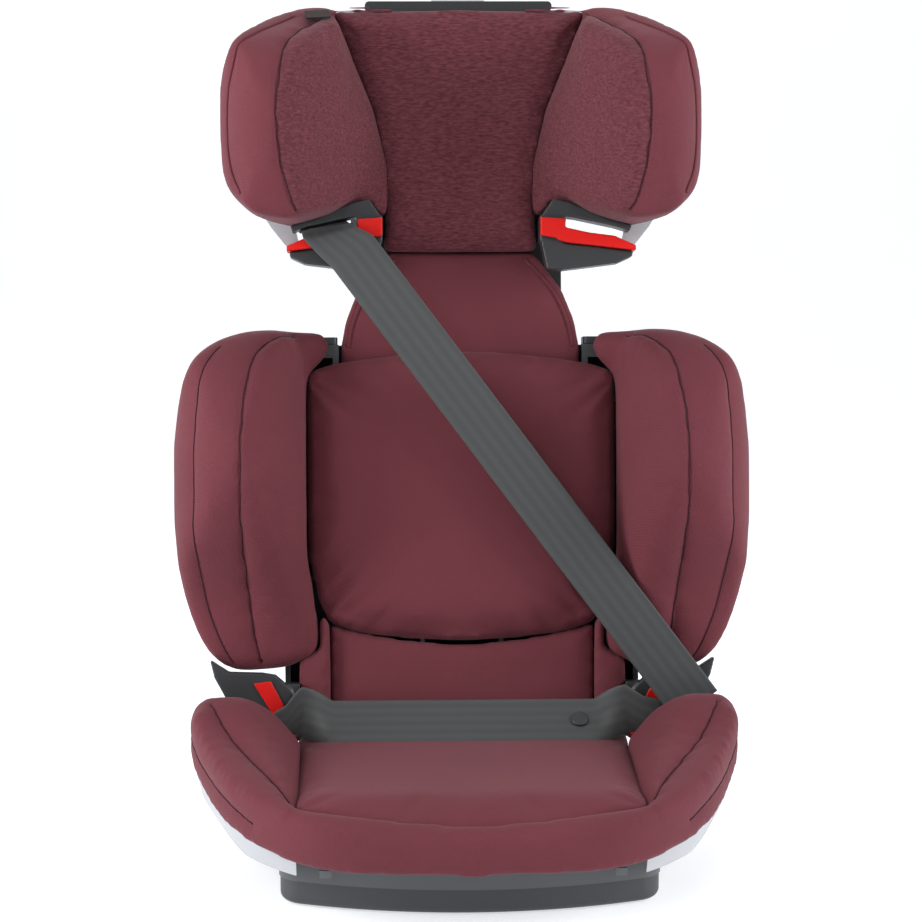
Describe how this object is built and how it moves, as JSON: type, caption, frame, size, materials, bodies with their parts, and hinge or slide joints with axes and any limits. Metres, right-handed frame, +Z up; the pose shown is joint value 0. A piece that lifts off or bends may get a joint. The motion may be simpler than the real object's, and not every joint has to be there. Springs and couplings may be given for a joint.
{
  "type": "high-back booster car seat",
  "caption": "High-back child booster seat with side wings, height-adjustable headrest, belt guides and sliding anchor connectors, shown with a vehicle belt routed across it.",
  "frame": {"origin": "middle of the pad under the base, at floor level", "axes": "+Z up, the seat faces -Y, +X is the seated child's left"},
  "size_m": [0.516, 0.4743, 0.7505],
  "materials": {
    "burgundy_fabric": "fine twill, burgundy",
    "burgundy_melange": "heathered burgundy knit",
    "black_plastic": "fine texture",
    "dark_grey_plastic": "fine texture",
    "grey_plastic": "satin",
    "light_grey_plastic": "satin",
    "red_plastic": "bright red",
    "steel": "zinc plated",
    "belt_webbing": "woven webbing",
    "foam_core": "moulded foam beads",
    "rubber_pad": "matt",
    "black_tag": "woven tape"
  },
  "bodies": {
    "base": {"base_shell": "dark_grey_plastic", "base_feet": "rubber_pad", "base_screws": "steel", "base_band": "grey_plastic", "side_trim_left": "light_grey_plastic", "side_trim_right": "light_grey_plastic", "seat_foam": "foam_core", "seat_bolster": "burgundy_fabric", "seat_cushion": "burgundy_fabric", "lap_guide_left": "red_plastic", "lap_guide_right": "red_plastic", "cushion_clips": "grey_plastic", "hinge_rod": "steel", "lap_belt": "belt_webbing", "belt_button": "black_plastic", "belt_tongue": "black_plastic"},
    "anchor_slider": {"connector_left": "steel", "connector_right": "steel", "hook_pins": "steel", "crossbar": "steel"},
    "hook_left": {"latch_hook_left": "steel"},
    "hook_right": {"latch_hook_right": "steel"},
    "button_left": {"release_button_left": "red_plastic", "button_spring_left": "steel"},
    "button_right": {"release_button_right": "red_plastic", "button_spring_right": "steel"},
    "release_handle": {"front_handle": "black_plastic", "handle_springs": "steel"},
    "backrest": {"back_shell": "dark_grey_plastic", "back_screws": "steel", "lock_rack": "black_plastic", "lumbar_pad": "burgundy_fabric", "lower_pad": "burgundy_fabric", "hip_pad_left": "burgundy_fabric", "hip_pad_right": "burgundy_fabric", "hip_bracket_left": "black_plastic", "hip_bracket_right": "black_plastic", "hip_insert_left": "red_plastic", "hip_insert_right": "red_plastic", "shoulder_cap_left": "black_plastic", "shoulder_cap_right": "black_plastic", "shoulder_belt": "belt_webbing"},
    "wing_left": {"wing_pad_left": "burgundy_fabric", "wing_shell_left": "dark_grey_plastic"},
    "wing_right": {"wing_pad_right": "burgundy_fabric", "wing_shell_right": "dark_grey_plastic"},
    "headrest": {"head_shell": "light_grey_plastic", "head_foam": "foam_core", "head_centre_pad": "burgundy_melange", "head_pad_left": "burgundy_fabric", "head_pad_right": "burgundy_fabric", "neck_panel": "burgundy_fabric", "head_column": "black_plastic", "belt_guide_left": "black_plastic", "belt_guide_right": "black_plastic", "guide_lip_left": "red_plastic", "guide_lip_right": "red_plastic", "head_handle": "black_plastic", "head_tag": "black_tag"},
    "lever": {"head_lever": "light_grey_plastic", "lever_spring": "steel"},
    "lock": {"lock_bar": "steel"}
  },
  "joints": [
    {"name": "backrest_recline", "type": "hinge", "parent": "base", "child": "backrest", "pos_m": [0, 0.16, 0.08], "axis": [-1, 0, 0], "range_deg": [0, 15], "deforming": ["shoulder_belt"]},
    {"name": "headrest_slide", "type": "slide", "parent": "backrest", "child": "headrest", "axis": [0, 0.1736, 0.9848], "range_m": [-0.05, 0.12], "deforming": ["shoulder_belt"]},
    {"name": "wing_left_slide", "type": "slide", "parent": "backrest", "child": "wing_left", "axis": [1, 0, 0], "range_m": [-0.002, 0.0048]},
    {"name": "wing_right_slide", "type": "slide", "parent": "backrest", "child": "wing_right", "axis": [-1, 0, 0], "range_m": [-0.002, 0.0048]},
    {"name": "lever_slide", "type": "slide", "parent": "headrest", "child": "lever", "axis": [0, 0.1736, 0.9848], "range_m": [0, 0.006], "stiffness_N_per_m": 600, "springref_m": -0.002, "deforming": ["lever_spring"]},
    {"name": "lock_slide", "type": "slide", "parent": "headrest", "child": "lock", "axis": [0, -0.9848, 0.1736], "range_m": [0, 0.003]},
    {"name": "anchor_slide", "type": "slide", "parent": "base", "child": "anchor_slider", "axis": [0, 1, 0], "range_m": [0, 0.085]},
    {"name": "hook_left_turn", "type": "hinge", "parent": "anchor_slider", "child": "hook_left", "pos_m": [0.14, 0.188, 0.038], "axis": [1, 0, 0], "range_deg": [0, 30]},
    {"name": "hook_right_turn", "type": "hinge", "parent": "anchor_slider", "child": "hook_right", "pos_m": [-0.14, 0.188, 0.038], "axis": [1, 0, 0], "range_deg": [0, 30]},
    {"name": "button_left_press", "type": "slide", "parent": "anchor_slider", "child": "button_left", "axis": [-1, 0, 0], "range_m": [0, 0.002], "stiffness_N_per_m": 900, "springref_m": -0.002, "deforming": ["button_spring_left"]},
    {"name": "button_right_press", "type": "slide", "parent": "anchor_slider", "child": "button_right", "axis": [1, 0, 0], "range_m": [0, 0.002], "stiffness_N_per_m": 900, "springref_m": -0.002, "deforming": ["button_spring_right"]},
    {"name": "handle_pull", "type": "slide", "parent": "base", "child": "release_handle", "axis": [0, -1, 0], "range_m": [0, 0.008], "stiffness_N_per_m": 800, "springref_m": -0.003, "deforming": ["handle_springs"]}
  ],
  "couplings": [
    {"joint": "wing_left_slide", "follows": "headrest_slide", "ratio": 0.04},
    {"joint": "wing_right_slide", "follows": "headrest_slide", "ratio": 0.04},
    {"joint": "lock_slide", "follows": "lever_slide", "ratio": 0.5},
    {"joint": "hook_left_turn", "follows": "button_left_press", "rad_per_m": 261.54},
    {"joint": "hook_right_turn", "follows": "button_right_press", "rad_per_m": 261.54}
  ]
}
